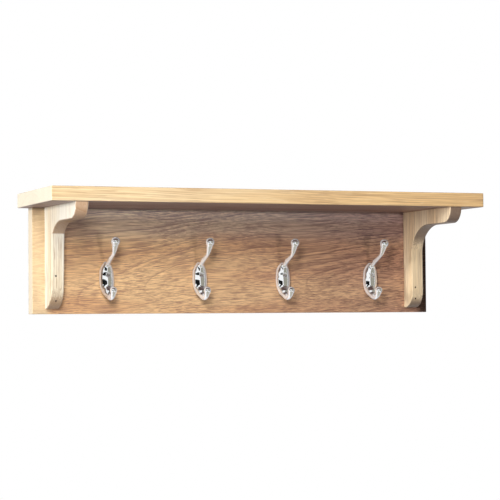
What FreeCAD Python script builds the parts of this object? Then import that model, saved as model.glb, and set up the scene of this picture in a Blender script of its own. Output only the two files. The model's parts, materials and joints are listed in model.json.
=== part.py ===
import FreeCAD, Part
import math
import os
import re

import Sketcher
from FreeCAD import Placement, Rotation, Vector

# A wall coat rack: an oak shelf on a back board and two shaped brackets, with four chrome double hooks.
# X runs along the rack, the front faces -Y, the wall is the plane Y = 0 and Z is up.
# The origin is the point on the wall midway between the two hanging screws.

doc = FreeCAD.newDocument("coat_rack")

# Driving sizes in millimetres, angles in degrees. On the boards and brackets a reach is measured forward
# from the back board's front face and a drop down from the underside of the shelf. On a hook a reach is
# measured from the board too, and a rise up from the middle of the hook's base. A pin's rise and that of
# the lower bracket screw are measured up from the foot of the leg.
driving_sizes = {
    "shelf_length": 700,
    "shelf_depth": 196,
    "shelf_thickness": 22,
    "shelf_overhang": 17,
    "shelf_arris": 1.5,
    "board_height": 163,
    "board_thickness": 22,
    "board_arris": 0.8,
    "hanging_drop": 45,
    "bracket_thickness": 20,
    "bracket_inset": 20,
    "bracket_arris": 1.2,
    "nose_setback": 3,
    "nose_height": 24,
    "cove_radius": 71,
    "cove_turn": 40,
    "leg_depth_left": 41,
    "leg_depth_right": 30,
    "blend_radius_left": 4,
    "blend_radius_right": 35,
    "leg_margin": 7.5,
    "toe_reach_left": 38,
    "toe_reach_right": 30.5,
    "toe_foot_left": 0.5,
    "toe_foot_right": 3,
    "hook_side_margin": 70,
    "inner_hook_share": 0.316,
    "hook_shift": 7,
    "hook_height": 54,
    "hook_turn_1": -1.4,
    "hook_turn_2": -1.1,
    "hook_turn_3": 0,
    "hook_turn_4": 1.7,
    "bulb_width": 24,
    "bulb_length": 50,
    "bulb_depth": 20,
    "bulb_centre_reach": 5.5,
    "bulb_centre_rise": -2,
    "bulb_tilt": 13,
    "arm_root_reach": 4,
    "arm_root_rise": 22,
    "arm_root_radius": 3.8,
    "neck_reach": 47,
    "neck_rise": 37.5,
    "neck_radius": 2.3,
    "knob_reach": 57.5,
    "knob_rise": 56.5,
    "knob_radius": 6.3,
    "curl_centre_reach": 26,
    "curl_centre_rise": -16,
    "curl_radius": 14,
    "curl_root_radius": 6.5,
    "curl_thin_radius": 3,
    "curl_end_radius": 4.6,
    "curl_root_turn": 200,
    "curl_thin_turn": 285,
    "curl_end_turn": 350,
    "tip_radius": 5.2,
    "peg_radius": 2,
    "peg_length": 6,
    "peg_drop": 11,
    "hook_screw_rise": 5.7,
    "hook_screw_radius": 1.75,
    "hook_screw_head_radius": 3.2,
    "hook_screw_crown": 0.8,
    "hook_screw_sink": 1.1,
    "hook_screw_grip": 16,
    "pin_radius": 0.8,
    "pin_head_radius": 1.3,
    "pin_head_height": 1,
    "pin_sink": 0.6,
    "pin_grip": 14,
    "pin_shift_left_high": 3,
    "pin_shift_left_low": 0.2,
    "pin_shift_right_high": 4,
    "pin_shift_right_low": 2.3,
    "pin_rise_left_high": 49.7,
    "pin_rise_left_low": 12.3,
    "pin_rise_right_high": 32.4,
    "pin_rise_right_low": 14.4,
    "bracket_screw_radius": 2,
    "bracket_screw_head_radius": 4,
    "bracket_screw_sink": 0.5,
    "bracket_screw_length": 44,
    "bracket_screw_high_drop": 30,
    "bracket_screw_low_rise": 75.5,
    "dowel_radius": 4,
    "dowel_length": 30,
    "dowel_chamfer": 1,
    "dowel_back_reach": 60,
    "dowel_front_margin": 36,
    "board_dowel_margin": 63,
    "hanger_margin": 83,
    "hanger_width": 18,
    "hanger_thickness": 2,
    "hanger_above": 27,
    "hanger_below": 19,
    "keyhole_radius": 4.5,
    "keyslot_radius": 2.25,
    "keyslot_rise": 10,
    "pocket_depth": 8,
    "pocket_margin": 1.5,
    "hanger_screw_radius": 1.75,
    "hanger_screw_head_radius": 3.2,
    "hanger_screw_sink": 0.2,
    "hanger_screw_length": 15,
    "hanger_screw_margin": 5.5,
    "drive_slot_width": 0.9,
    "drive_slot_depth": 1.2,
    "drive_slot_share": 0.55,
    "tip_taper_share": 2,
    "fit_clearance": 0.05,
    "end_clearance": 1,
    "cut_overrun": 5,
}

sheet = doc.addObject("Spreadsheet::Sheet", "Sizes")
for row, (alias, value) in enumerate(driving_sizes.items(), start=1):
    sheet.set(f"A{row}", alias)
    sheet.set(f"B{row}", str(value))
    sheet.setAlias(f"B{row}", alias)

# One number worked out from the sheet at a time, so that a formula is written only once.
derived = doc.addObject("App::VarSet", "Derived")
derived.addProperty("App::PropertyFloat", "amount")
doc.recompute()


def in_sheet(formula):
    """The formula with every driving size spelled as a cell of the sheet."""
    spelled = lambda word: f"Sizes.{word[0]}" if word[0] in driving_sizes else word[0]
    return re.sub(r"[a-z]\w*", spelled, formula)


def amount(formula):
    """The value of a formula over the driving sizes."""
    derived.setExpression("amount", in_sheet(formula))
    derived.recompute()
    if "Invalid" in derived.State:
        raise ValueError(f"{formula}: {derived.getStatusString()}")
    return derived.amount


def tie(thing, **formulas):
    """Bind properties of a document object to formulas over the driving sizes."""
    for name, formula in formulas.items():
        thing.setExpression(name, in_sheet(formula))


def place(thing, x, y, z, rotation=Rotation()):
    """Turn an object and bind its three coordinates to formulas."""
    thing.Placement = Placement(Vector(amount(x), amount(y), amount(z)), rotation)
    for axis, formula in zip("xyz", (x, y, z)):
        thing.setExpression(f".Placement.Base.{axis}", in_sheet(formula))


def new_part(kind, name, **formulas):
    """A Part primitive whose sizes are formulas."""
    thing = doc.addObject(f"Part::{kind}", name)
    tie(thing, **formulas)
    return thing


# An object made along +Z is turned to point away from the wall, or towards it.
forward = Rotation(Vector(1, 0, 0), 90)
backward = Rotation(Vector(1, 0, 0), -90)
upward = Rotation()


def new_body(name):
    body = doc.addObject("PartDesign::Body", name)
    body.Label = name
    return body


def new_sketch(body, role, name):
    """A sketch on one of the body's own origin planes."""
    sketch = body.newObject("Sketcher::SketchObject", name)
    plane = next(feature for feature in body.Origin.OriginFeatures if feature.Role == role)
    sketch.AttachmentSupport = [(plane, "")]
    sketch.MapMode = "FlatFace"
    return sketch


def bent_edge(start, end, radius, side):
    """An anticlockwise arc between two points; side is 1 where it bulges left of the way from start to end,
    else -1."""
    chord = end - start
    sagitta = radius - math.sqrt(max(radius**2 - chord.Length**2 / 4, 0))
    left = Vector(-chord.y, chord.x, 0).normalize()
    middle = (start + end) / 2 + left * side * sagitta
    return Part.Arc(end, middle, start) if side > 0 else Part.Arc(start, middle, end)


def draw_outline(sketch, corners, bends=None):
    """A closed outline through corners, each a pair of formulas. bends maps the number of an edge to the
    formula of its radius and the side it bulges to."""
    bends = bends or {}
    points = [Vector(amount(x), amount(y), 0) for x, y in corners]
    ends = []
    for number, start in enumerate(points):
        end = points[(number + 1) % len(points)]
        if number in bends:
            radius, side = bends[number]
            sketch.addGeometry(bent_edge(start, end, amount(radius), side))
            ends.append((2, 1) if side > 0 else (1, 2))
        else:
            sketch.addGeometry(Part.LineSegment(start, end))
            ends.append((1, 2))
    for number, (x, y) in enumerate(corners):
        following = (number + 1) % len(corners)
        first, last = ends[number]
        sketch.addConstraint(Sketcher.Constraint("Coincident", number, last, following, ends[following][0]))
        for direction, formula, axis in (("DistanceX", x, -2), ("DistanceY", y, -1)):
            if formula == "0":
                sketch.addConstraint(Sketcher.Constraint("PointOnObject", number, first, axis))
                continue
            length = Sketcher.Constraint(direction, -1, 1, number, first, amount(formula))
            index = sketch.addConstraint(length)
            sketch.setExpression(f"Constraints[{index}]", in_sheet(formula))
        if number in bends:
            index = sketch.addConstraint(Sketcher.Constraint("Radius", number, amount(bends[number][0])))
            sketch.setExpression(f"Constraints[{index}]", in_sheet(bends[number][0]))


def pad_outline(body, role, name, thickness, corners, bends=None, both_ways=False):
    """A plate of an outline, from its plane or to both sides of it."""
    sketch = new_sketch(body, role, f"{name}_outline")
    draw_outline(sketch, corners, bends)
    pad = body.newObject("PartDesign::Pad", f"{name}_pad")
    pad.Profile = sketch
    pad.Midplane = both_ways
    tie(pad, Length=thickness)
    doc.recompute()
    return pad


def turn_outline(body, name, corners, bends=None):
    """A turned piece: half of its outline, revolved about the body's Z axis."""
    sketch = new_sketch(body, "XZ_Plane", f"{name}_profile")
    draw_outline(sketch, corners, bends)
    turned = body.newObject("PartDesign::Revolution", f"{name}_turned")
    turned.Profile = sketch
    turned.ReferenceAxis = (sketch, ["V_Axis"])
    doc.recompute()
    return turned


def ease_edges(body, base, kind, size, wanted):
    """A rounded or bevelled arris, a Fillet or a Chamfer, on each edge of the base that the test picks."""
    names = [f"Edge{number}" for number, edge in enumerate(base.Shape.Edges, start=1) if wanted(edge)]
    arris = body.newObject(f"PartDesign::{kind}", f"{body.Name}_arris")
    arris.Base = (base, names)
    tie(arris, **{"Radius" if kind == "Fillet" else "Size": size})
    doc.recompute()
    return arris


def drill(body, name, x, y, z, rotation, radius, depth):
    """A round hole that starts at a place and runs the way the rotation turns +Z."""
    hole = body.newObject("PartDesign::SubtractiveCylinder", name)
    tie(hole, Radius=radius, Height=depth)
    place(hole, x, y, z, rotation)


def sink(body, name, x, y, z, rotation, wide, narrow):
    """A 90 degree countersink that narrows the way the rotation turns +Z."""
    cone = body.newObject("PartDesign::SubtractiveCone", name)
    tie(cone, Radius1=wide, Radius2=narrow, Height=f"({wide}) - ({narrow})")
    place(cone, x, y, z, rotation)


def mill(body, name, x, y, z, length, width, height):
    """A box cut away, from its lowest corner."""
    cut = body.newObject("PartDesign::SubtractiveBox", name)
    tie(cut, Length=length, Width=width, Height=height)
    place(cut, x, y, z)


def on_face(edge, axis, level):
    """Whether an edge lies in the plane where one coordinate has the given value."""
    box = edge.BoundBox
    low, high = {"x": (box.XMin, box.XMax), "y": (box.YMin, box.YMax), "z": (box.ZMin, box.ZMax)}[axis]
    nearness = math.sqrt(Part.Precision.confusion())
    return abs(low - level) < nearness and abs(high - level) < nearness


def rectangle(width, height):
    """Corners of a rectangle that hangs from the sketch's X axis, centred on its Y axis."""
    left, right, bottom = f"-({width}) / 2", f"({width}) / 2", f"-({height})"
    return [(left, "0"), (left, bottom), (right, bottom), (right, "0")]


# Sizes and places that several pieces share.
board_length = "(shelf_length - 2 * shelf_overhang)"
nose_reach = "(shelf_depth - board_thickness - nose_setback)"
leg_drop = "(board_height - leg_margin)"
hook_drop = "(board_height - hook_height)"
dowel_hole_depth = "dowel_length / 2 + end_clearance"
sides = {"left": "-1", "right": "1"}
bracket_middle = {side: f"{sign} * ({board_length} / 2 - bracket_inset - bracket_thickness / 2)"
                  for side, sign in sides.items()}
hanger_middle = {side: f"{sign} * ({board_length} / 2 - hanger_margin)" for side, sign in sides.items()}
hanger_screw_rises = {"high": "hanger_above - hanger_screw_margin",
                      "low": "hanger_screw_margin - hanger_below"}
bracket_screw_drops = {"high": "bracket_screw_high_drop", "low": f"({leg_drop} - bracket_screw_low_rise)"}
dowel_reaches = {"back": "dowel_back_reach", "front": f"({nose_reach} - dowel_front_margin)"}
outer_board_dowel = f"({board_length} / 2 - board_dowel_margin)"
board_dowel_shares = ("-1", "-1 / 3", "1 / 3", "1")
board_dowel_places = {number: f"{share} * {outer_board_dowel}"
                      for number, share in enumerate(board_dowel_shares, start=1)}
outer_hook = f"({board_length} / 2 - bracket_inset - bracket_thickness - hook_side_margin)"
hook_shares = ("-1", "-inner_hook_share", "inner_hook_share", "1")
hook_middle = {number: f"hook_shift + {share} * {outer_hook}"
               for number, share in enumerate(hook_shares, start=1)}
heights = ("high", "low")


def pin_place(side, height):
    """Sideways place and drop of a pin."""
    return (f"{bracket_middle[side]} - pin_shift_{side}_{height}",
            f"({leg_drop} - pin_rise_{side}_{height})")


def on_hook(number, rise):
    """Sideways place and drop of a point on the middle line of a leaning hook."""
    sideways = f"{hook_middle[number]} + ({rise}) * sin(hook_turn_{number})"
    drop = f"{hook_drop} - ({rise}) * cos(hook_turn_{number})"
    return sideways, drop


# The reach of the bulb's front at the height of the screw, from the equation of the tilted ellipse.
long_square = "(bulb_length / 2)^2"
deep_square = "(bulb_depth / 2)^2"
screw_offset = "(hook_screw_rise - bulb_centre_rise)"
square_term = f"(sin(bulb_tilt)^2 / {long_square} + cos(bulb_tilt)^2 / {deep_square})"
cross_term = f"({screw_offset} * sin(bulb_tilt) * cos(bulb_tilt) * (1 / {deep_square} - 1 / {long_square}))"
turned_square = f"(cos(bulb_tilt)^2 / {long_square} + sin(bulb_tilt)^2 / {deep_square})"
plain_term = f"({screw_offset}^2 * {turned_square} - 1)"
root_term = f"sqrt({cross_term}^2 - {square_term} * {plain_term})"
bulb_front = f"bulb_centre_reach + ({root_term} - {cross_term}) / {square_term}"
hook_screw_rim = f"({bulb_front} - hook_screw_sink)"


def leg_ends(side):
    """Drops between which the front of a leg is straight, and the radius of the round toe below it."""
    toe_radius = f"(toe_reach_{side} - toe_foot_{side})"
    top = f"(nose_height + cove_radius * (1 - cos(cove_turn)) + blend_radius_{side} * cos(cove_turn))"
    return top, f"({leg_drop} - {toe_radius})", toe_radius


def leg_front(side, height):
    """Reach of a leg's front at a pin: the high one goes into the straight part, the low one into the toe."""
    top, toe_top, toe_radius = leg_ends(side)
    _, drop = pin_place(side, height)
    if height == "high":
        taper = f"(leg_depth_{side} - toe_reach_{side}) / ({toe_top} - {top})"
        return f"(leg_depth_{side} - ({drop} - {top}) * {taper})"
    return f"(toe_foot_{side} + sqrt({toe_radius}^2 - ({drop} - {toe_top})^2))"


def make_shelf():
    body = new_body("shelf")
    outline = rectangle("shelf_length", "shelf_depth")
    pad = pad_outline(body, "XY_Plane", "shelf", "shelf_thickness", outline)
    ease_edges(body, pad, "Fillet", "shelf_arris", lambda edge: not on_face(edge, "y", 0))
    holes = {f"board_{number}": (x, "-board_thickness / 2") for number, x in board_dowel_places.items()}
    for side, middle in bracket_middle.items():
        for name, reach in dowel_reaches.items():
            holes[f"{side}_{name}"] = (middle, f"-(board_thickness + {reach})")
    for name, (x, y) in holes.items():
        drill(body, f"shelf_hole_{name}", x, y, "-cut_overrun", upward,
              "dowel_radius + fit_clearance", f"cut_overrun + {dowel_hole_depth}")
    place(body, "0", "0", "hanging_drop")
    return body


def make_back_board():
    body = new_body("back_board")
    pad = pad_outline(body, "XZ_Plane", "board", "board_thickness", rectangle(board_length, "board_height"))
    free = lambda edge: not on_face(edge, "y", 0) and not on_face(edge, "z", 0)
    ease_edges(body, pad, "Fillet", "board_arris", free)
    for number, x in board_dowel_places.items():
        drill(body, f"board_dowel_hole_{number}", x, "-board_thickness / 2", f"-({dowel_hole_depth})",
              upward, "dowel_radius + fit_clearance", f"cut_overrun + {dowel_hole_depth}")
    hook_fixings = {
        "screw": ("hook_screw_rise", "hook_screw_radius", "hook_screw_grip"),
        "peg": ("-peg_drop", "peg_radius", "peg_length"),
    }
    for number in hook_middle:
        for name, (rise, radius, grip) in hook_fixings.items():
            x, drop = on_hook(number, rise)
            drill(body, f"hook_{name}_hole_{number}", x, f"{grip} + end_clearance - board_thickness",
                  f"-({drop})", forward, f"{radius} + fit_clearance", f"{grip} + end_clearance + cut_overrun")
    for side in sides:
        for height in heights:
            x, drop = pin_place(side, height)
            drill(body, f"pin_hole_{side}_{height}", x, "pin_grip + end_clearance - board_thickness", f"-{drop}",
                  forward, "pin_radius + fit_clearance", "pin_grip + end_clearance + cut_overrun")
        for height, drop in bracket_screw_drops.items():
            cut_bracket_screw_hole(body, side, height, drop)
        cut_hanger_seat(body, side)
    place(body, "0", "0", "hanging_drop")
    return body


def cut_bracket_screw_hole(body, side, height, drop):
    """A through hole, countersunk from the wall side."""
    name = f"{side}_{height}"
    x, z = bracket_middle[side], f"-({drop})"
    wide, narrow = "bracket_screw_head_radius + fit_clearance", "bracket_screw_radius + fit_clearance"
    drill(body, f"bracket_screw_hole_{name}", x, "cut_overrun", z, forward, narrow,
          "board_thickness + 2 * cut_overrun")
    drill(body, f"bracket_screw_head_hole_{name}", x, "cut_overrun", z, forward, wide,
          "cut_overrun + bracket_screw_sink")
    sink(body, f"bracket_screw_countersink_{name}", x, "-bracket_screw_sink", z, forward, wide, narrow)


def cut_hanger_seat(body, side):
    """The recess for a keyhole plate, the deeper pocket for the wall screw's head, and the screw holes."""
    middle = hanger_middle[side]
    mill(body, f"hanger_recess_{side}", f"{middle} - hanger_width / 2 - fit_clearance", "-hanger_thickness",
         "-(hanging_drop + hanger_below + fit_clearance)", "hanger_width + 2 * fit_clearance",
         "hanger_thickness + cut_overrun", "hanger_above + hanger_below + 2 * fit_clearance")
    half_width = "(keyhole_radius + pocket_margin)"
    mill(body, f"hanger_pocket_{side}", f"{middle} - {half_width}", "-(hanger_thickness + pocket_depth)",
         f"-(hanging_drop + {half_width})", f"2 * {half_width}", "hanger_thickness + pocket_depth",
         f"2 * {half_width} + keyslot_rise")
    depth = "hanger_screw_sink + hanger_screw_length + end_clearance"
    for height, rise in hanger_screw_rises.items():
        drill(body, f"hanger_screw_hole_{side}_{height}", middle, "0", f"{rise} - hanging_drop", forward,
              "hanger_screw_radius + fit_clearance", depth)


def make_bracket(side):
    body = new_body(f"bracket_{side}")
    leg, blend, foot = f"leg_depth_{side}", f"blend_radius_{side}", f"toe_foot_{side}"
    leg_top, toe_top, toe_radius = leg_ends(side)
    cove_end = f"({leg} + {blend} * (1 - sin(cove_turn)))"
    corners = [
        ("cut_overrun", "0"),
        (f"-{nose_reach}", "0"),
        (f"nose_height - {nose_reach}", "-nose_height"),
        (f"-({cove_end} + cove_radius * sin(cove_turn))", "-nose_height"),
        (f"-{cove_end}", "-(nose_height + cove_radius * (1 - cos(cove_turn)))"),
        (f"-{leg}", f"-{leg_top}"),
        (f"-toe_reach_{side}", f"-{toe_top}"),
        (f"-{foot}", f"-{leg_drop}"),
        ("cut_overrun", f"-{leg_drop}"),
    ]
    bends = {1: ("nose_height", -1), 3: ("cove_radius", 1), 4: (blend, 1), 6: (toe_radius, -1)}
    pad = pad_outline(body, "YZ_Plane", f"bracket_{side}", "bracket_thickness", corners, bends,
                      both_ways=True)
    half = amount("bracket_thickness / 2")
    outline = lambda edge: on_face(edge, "x", half) or on_face(edge, "x", -half)
    seated = lambda edge: on_face(edge, "y", amount("cut_overrun")) or on_face(edge, "z", 0)
    ease_edges(body, pad, "Chamfer", "bracket_arris", lambda edge: outline(edge) and not seated(edge))
    # The outline runs on past the back board's face, so that the bevelled edges end squarely on it.
    mill(body, f"bracket_back_{side}", "-bracket_thickness", "0", f"-({leg_drop} + cut_overrun)",
         "2 * bracket_thickness", "2 * cut_overrun", f"{leg_drop} + 2 * cut_overrun")
    for name, reach in dowel_reaches.items():
        drill(body, f"bracket_dowel_hole_{side}_{name}", "0", f"-{reach}", f"-({dowel_hole_depth})", upward,
              "dowel_radius + fit_clearance", f"cut_overrun + {dowel_hole_depth}")
    for height, drop in bracket_screw_drops.items():
        drill(body, f"bracket_leg_hole_{side}_{height}", "0", "cut_overrun", f"-{drop}", forward,
              "bracket_screw_radius + fit_clearance",
              "cut_overrun + bracket_screw_sink + bracket_screw_length - board_thickness + end_clearance")
    head_depth = "pin_sink + pin_head_height"
    for height in heights:
        front, shift = leg_front(side, height), f"-pin_shift_{side}_{height}"
        _, drop = pin_place(side, height)
        drill(body, f"leg_pin_hole_{side}_{height}", shift, "cut_overrun", f"-{drop}", forward,
              "pin_radius + fit_clearance", f"{front} + 2 * cut_overrun")
        drill(body, f"leg_pin_head_hole_{side}_{height}", shift, f"{head_depth} - {front}", f"-{drop}", forward,
              "pin_head_radius + fit_clearance", f"{head_depth} + cut_overrun")
    place(body, bracket_middle[side], "-board_thickness", "hanging_drop")
    return body


def tapered_rod(name, stations):
    """A loft through round sections; a station is reach, rise and radius as formulas, and a direction."""
    sections = []
    for number, (reach, rise, radius, direction) in enumerate(stations, start=1):
        section = new_part("Circle", f"{name}_section_{number}", Radius=radius)
        along = Rotation(Vector(0, 0, 1), Vector(0, -direction[0], direction[1]))
        place(section, "0", f"-({reach})", rise, along)
        sections.append(section)
    rod = doc.addObject("Part::Loft", name)
    rod.Sections = sections
    rod.Solid = True
    return rod


def ball(name, reach, rise, radius):
    sphere = new_part("Sphere", name, Radius=radius)
    place(sphere, "0", f"-({reach})", rise)
    return sphere


def join(name, pieces):
    joined = doc.addObject("Part::MultiFuse", name)
    joined.Shapes = pieces
    return joined


def take_away(name, base, tool):
    rest = doc.addObject("Part::Cut", name)
    rest.Base = base
    rest.Tool = tool
    return rest


def make_upper_arm(number):
    """The arm rises from the top of the bulb to a thin neck and turns up into a teardrop knob."""
    run, climb = "(neck_reach - arm_root_reach)", "(neck_rise - arm_root_rise)"
    way = (amount(run), amount(climb))
    knob_way = (amount("knob_reach - neck_reach"), amount("knob_rise - neck_rise"))
    arm_shares = ((0, 0, 0), (0.35, 0.32, 0.55), (0.7, 0.66, 0.85), (1, 1, 1))
    arm = tapered_rod(f"hook_{number}_arm", [
        (f"arm_root_reach + {along} * {run}", f"arm_root_rise + {up} * {climb}",
         f"arm_root_radius + {thinned} * (neck_radius - arm_root_radius)", way)
        for along, up, thinned in arm_shares])
    # The teardrop's cone meets the knob's ball along the circle where the two are tangent.
    knob_length = math.hypot(*knob_way)
    slope = (amount("knob_radius") - amount("neck_radius")) / knob_length
    touch = f"{1 - slope * amount('knob_radius') / knob_length}"
    touch_place = (f"neck_reach + {touch} * (knob_reach - neck_reach)",
                   f"neck_rise + {touch} * (knob_rise - neck_rise)")
    teardrop = tapered_rod(f"hook_{number}_teardrop", [
        ("neck_reach", "neck_rise", "neck_radius", knob_way),
        (*touch_place, f"knob_radius * {math.sqrt(1 - slope**2)}", knob_way)])
    return [
        arm,
        teardrop,
        ball(f"hook_{number}_shoulder", "arm_root_reach", "arm_root_rise", "arm_root_radius"),
        ball(f"hook_{number}_neck", "neck_reach", "neck_rise", "neck_radius"),
        ball(f"hook_{number}_knob", "knob_reach", "knob_rise", "knob_radius"),
    ]


def make_lower_curl(number):
    """The lower hook is an arc that thins to its lowest point and swells again to a small ball."""
    to_thin, to_end = "(curl_thin_turn - curl_root_turn)", "(curl_end_turn - curl_thin_turn)"
    curl_shares = ((0, 0), (0.5, 0), (1, 0), (1, 0.5), (1, 1))
    stations = []
    for thinned, swollen in curl_shares:
        turn = f"(curl_root_turn + {thinned} * {to_thin} + {swollen} * {to_end})"
        radius = (f"curl_root_radius + {thinned} * (curl_thin_radius - curl_root_radius)"
                  f" + {swollen} * (curl_end_radius - curl_thin_radius)")
        way = (-amount(f"sin{turn}"), amount(f"cos{turn}"))
        stations.append((f"curl_centre_reach + curl_radius * cos{turn}",
                         f"curl_centre_rise + curl_radius * sin{turn}", radius, way))
    end_reach, end_rise = stations[-1][:2]
    return [
        tapered_rod(f"hook_{number}_curl", stations),
        ball(f"hook_{number}_tip", end_reach, end_rise, "tip_radius"),
    ]


def make_hook(number):
    """One casting: the bulb, flat on the board, its arm, its curl and a peg that stops it turning."""
    name = f"hook_{number}"
    # The ellipsoid's seam runs down the middle of its front.
    bulb = new_part("Ellipsoid", f"{name}_bulb", Radius1="bulb_length / 2", Radius2="bulb_depth / 2",
                    Radius3="bulb_width / 2")
    bulb.Angle1, bulb.Angle2, bulb.Angle3 = -90, 90, 360
    seam_ahead = Rotation(Vector(0, -1, 0), Vector(1, 0, 0), Vector(0, 0, 1))
    tilt = Rotation(Vector(1, 0, 0), -amount("bulb_tilt"))
    place(bulb, "0", "-bulb_centre_reach", "bulb_centre_rise", tilt * seam_ahead)
    body = join(f"{name}_body", [bulb] + make_upper_arm(number) + make_lower_curl(number))
    behind = new_part("Box", f"{name}_behind", Length="2 * bulb_width", Width="bulb_depth",
                      Height="2 * bulb_length")
    place(behind, "-bulb_width", "0", "-bulb_length")
    peg = new_part("Cylinder", f"{name}_peg", Radius="peg_radius", Height="peg_length + peg_radius")
    place(peg, "0", "peg_length", "-peg_drop", forward)
    casting = join(f"{name}_casting", [take_away(f"{name}_flat_back", body, behind), peg])
    wide, narrow = "hook_screw_head_radius + fit_clearance", "hook_screw_radius + fit_clearance"
    hole = new_part("Cylinder", f"{name}_hole", Radius=narrow, Height=f"{hook_screw_rim} + 2 * cut_overrun")
    place(hole, "0", "cut_overrun", "hook_screw_rise", forward)
    seat = new_part("Cone", f"{name}_seat", Radius1=wide, Radius2=narrow, Height=f"({wide}) - ({narrow})")
    place(seat, "0", f"-{hook_screw_rim}", "hook_screw_rise", backward)
    mouth = new_part("Cylinder", f"{name}_mouth", Radius=wide, Height="hook_screw_sink + cut_overrun")
    place(mouth, "0", f"-{hook_screw_rim}", "hook_screw_rise", forward)
    hook = take_away(name, casting, join(f"{name}_drilling", [hole, seat, mouth]))
    hook.Label = name
    lean = Rotation(Vector(0, 1, 0), amount(f"hook_turn_{number}"))
    place(hook, hook_middle[number], "-board_thickness", f"hanging_drop - {hook_drop}", lean)
    return hook


def make_screw(name, kind, length, x, y, z, rotation, crown="0"):
    """A countersunk screw with a cross-slotted head, flat or slightly raised. Its rim lies at the given
    place and its shank runs against the way the rotation turns +Z."""
    body = new_body(name)
    head, shank = f"{kind}_head_radius", f"{kind}_radius"
    corners = [
        ("0", crown),
        (head, "0"),
        (shank, f"{shank} - {head}"),
        (shank, f"tip_taper_share * {shank} - ({length})"),
        ("0", f"-({length})"),
    ]
    bends = None if crown == "0" else {0: (f"({head}^2 + {crown}^2) / (2 * {crown})", 1)}
    turn_outline(body, name, corners, bends)
    long, wide = f"(2 * {head} * drive_slot_share)", "drive_slot_width"
    for way, (length_x, length_y) in {"across": (long, wide), "along": (wide, long)}.items():
        mill(body, f"{name}_slot_{way}", f"-{length_x} / 2", f"-{length_y} / 2",
             f"{crown} - drive_slot_depth", length_x, length_y, "drive_slot_depth + cut_overrun")
    place(body, x, y, z, rotation)
    return body


def make_pin(name, side, height):
    """A headed pin, sunk a little below the front of the leg and driven through it into the board."""
    body = new_body(name)
    front = leg_front(side, height)
    length = f"({front} - pin_sink + pin_grip)"
    turn_outline(body, name, [
        ("0", "0"),
        ("pin_head_radius", "0"),
        ("pin_head_radius", "-pin_head_height"),
        ("pin_radius", "-pin_head_height"),
        ("pin_radius", f"-{length}"),
        ("0", f"-{length}"),
    ])
    x, drop = pin_place(side, height)
    place(body, x, f"pin_sink - board_thickness - {front}", f"hanging_drop - {drop}", forward)
    return body


def make_dowel(name, x, y):
    """A chamfered dowel, half in the shelf and half in what carries it."""
    body = new_body(name)
    narrow = "dowel_radius - dowel_chamfer"
    turn_outline(body, name, [("0", "0"), (narrow, "0"), ("dowel_radius", "dowel_chamfer"),
                              ("dowel_radius", "dowel_length - dowel_chamfer"), (narrow, "dowel_length"),
                              ("0", "dowel_length")])
    place(body, x, y, "hanging_drop - dowel_length / 2")
    return body


def make_hanger(side):
    """A keyhole plate: the wall screw's head goes in at the round hole and up the slot."""
    name = f"hanger_{side}"
    body = new_body(name)
    full_height = "(hanger_above + hanger_below)"
    pad_outline(body, "XZ_Plane", name, "hanger_thickness", rectangle("hanger_width", full_height))
    drill(body, f"{name}_entry", "0", "cut_overrun", "-hanger_above", forward,
          "keyhole_radius", "hanger_thickness + 2 * cut_overrun")
    mill(body, f"{name}_slot", "-keyslot_radius", "-(hanger_thickness + cut_overrun)", "-hanger_above",
         "2 * keyslot_radius", "hanger_thickness + 2 * cut_overrun", "keyslot_rise")
    drill(body, f"{name}_slot_end", "0", "cut_overrun", "keyslot_rise - hanger_above", forward,
          "keyslot_radius", "hanger_thickness + 2 * cut_overrun")
    wide, narrow = "hanger_screw_head_radius + fit_clearance", "hanger_screw_radius + fit_clearance"
    for height, rise in hanger_screw_rises.items():
        z = f"{rise} - hanger_above"
        drill(body, f"{name}_hole_{height}", "0", "cut_overrun", z, forward, narrow,
              "hanger_thickness + 2 * cut_overrun")
        drill(body, f"{name}_head_hole_{height}", "0", "cut_overrun", z, forward, wide,
              "cut_overrun + hanger_screw_sink")
        sink(body, f"{name}_countersink_{height}", "0", "-hanger_screw_sink", z, forward, wide, narrow)
    place(body, hanger_middle[side], "0", "hanger_above")
    return body


def group(name, members):
    """Several like fasteners kept as separate solids under one name."""
    compound = doc.addObject("Part::Compound", name)
    compound.Links = members
    compound.Label = name
    return compound


nodes = [make_shelf(), make_back_board()]
for side in sides:
    nodes.append(make_bracket(side))
    nodes.append(make_hanger(side))
    nodes.append(group(f"bracket_pins_{side}", [make_pin(f"pin_{side}_{height}", side, height)
                                                for height in heights]))
    nodes.append(group(f"bracket_screws_{side}", [
        make_screw(f"bracket_screw_{side}_{height}", "bracket_screw", "bracket_screw_length",
                   bracket_middle[side], "-bracket_screw_sink", f"hanging_drop - {drop}", backward)
        for height, drop in bracket_screw_drops.items()]))
    nodes.append(group(f"shelf_dowels_{side}", [
        make_dowel(f"shelf_dowel_{side}_{name}", bracket_middle[side], f"-(board_thickness + {reach})")
        for name, reach in dowel_reaches.items()]))
    nodes.append(group(f"hanger_screws_{side}", [
        make_screw(f"hanger_screw_{side}_{height}", "hanger_screw", "hanger_screw_length",
                   hanger_middle[side], "-hanger_screw_sink", rise, backward)
        for height, rise in hanger_screw_rises.items()]))
nodes.append(group("board_dowels", [make_dowel(f"board_dowel_{number}", x, "-board_thickness / 2")
                                    for number, x in board_dowel_places.items()]))
for number in hook_middle:
    nodes.append(make_hook(number))
    x, drop = on_hook(number, "hook_screw_rise")
    nodes.append(make_screw(f"hook_screw_{number}", "hook_screw", f"{hook_screw_rim} + hook_screw_grip", x,
                            f"-(board_thickness + {hook_screw_rim})", f"hanging_drop - ({drop})", forward,
                            "hook_screw_crown"))

doc.recompute()

failed = [f"{thing.Name} ({thing.getStatusString()})" for thing in doc.Objects
          if "Invalid" in thing.State or "Error" in thing.State]
failed += [node.Label for node in nodes if node.Shape.isNull() or not node.Shape.isValid()]
if failed:
    raise RuntimeError(f"these pieces failed: {failed}")

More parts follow.
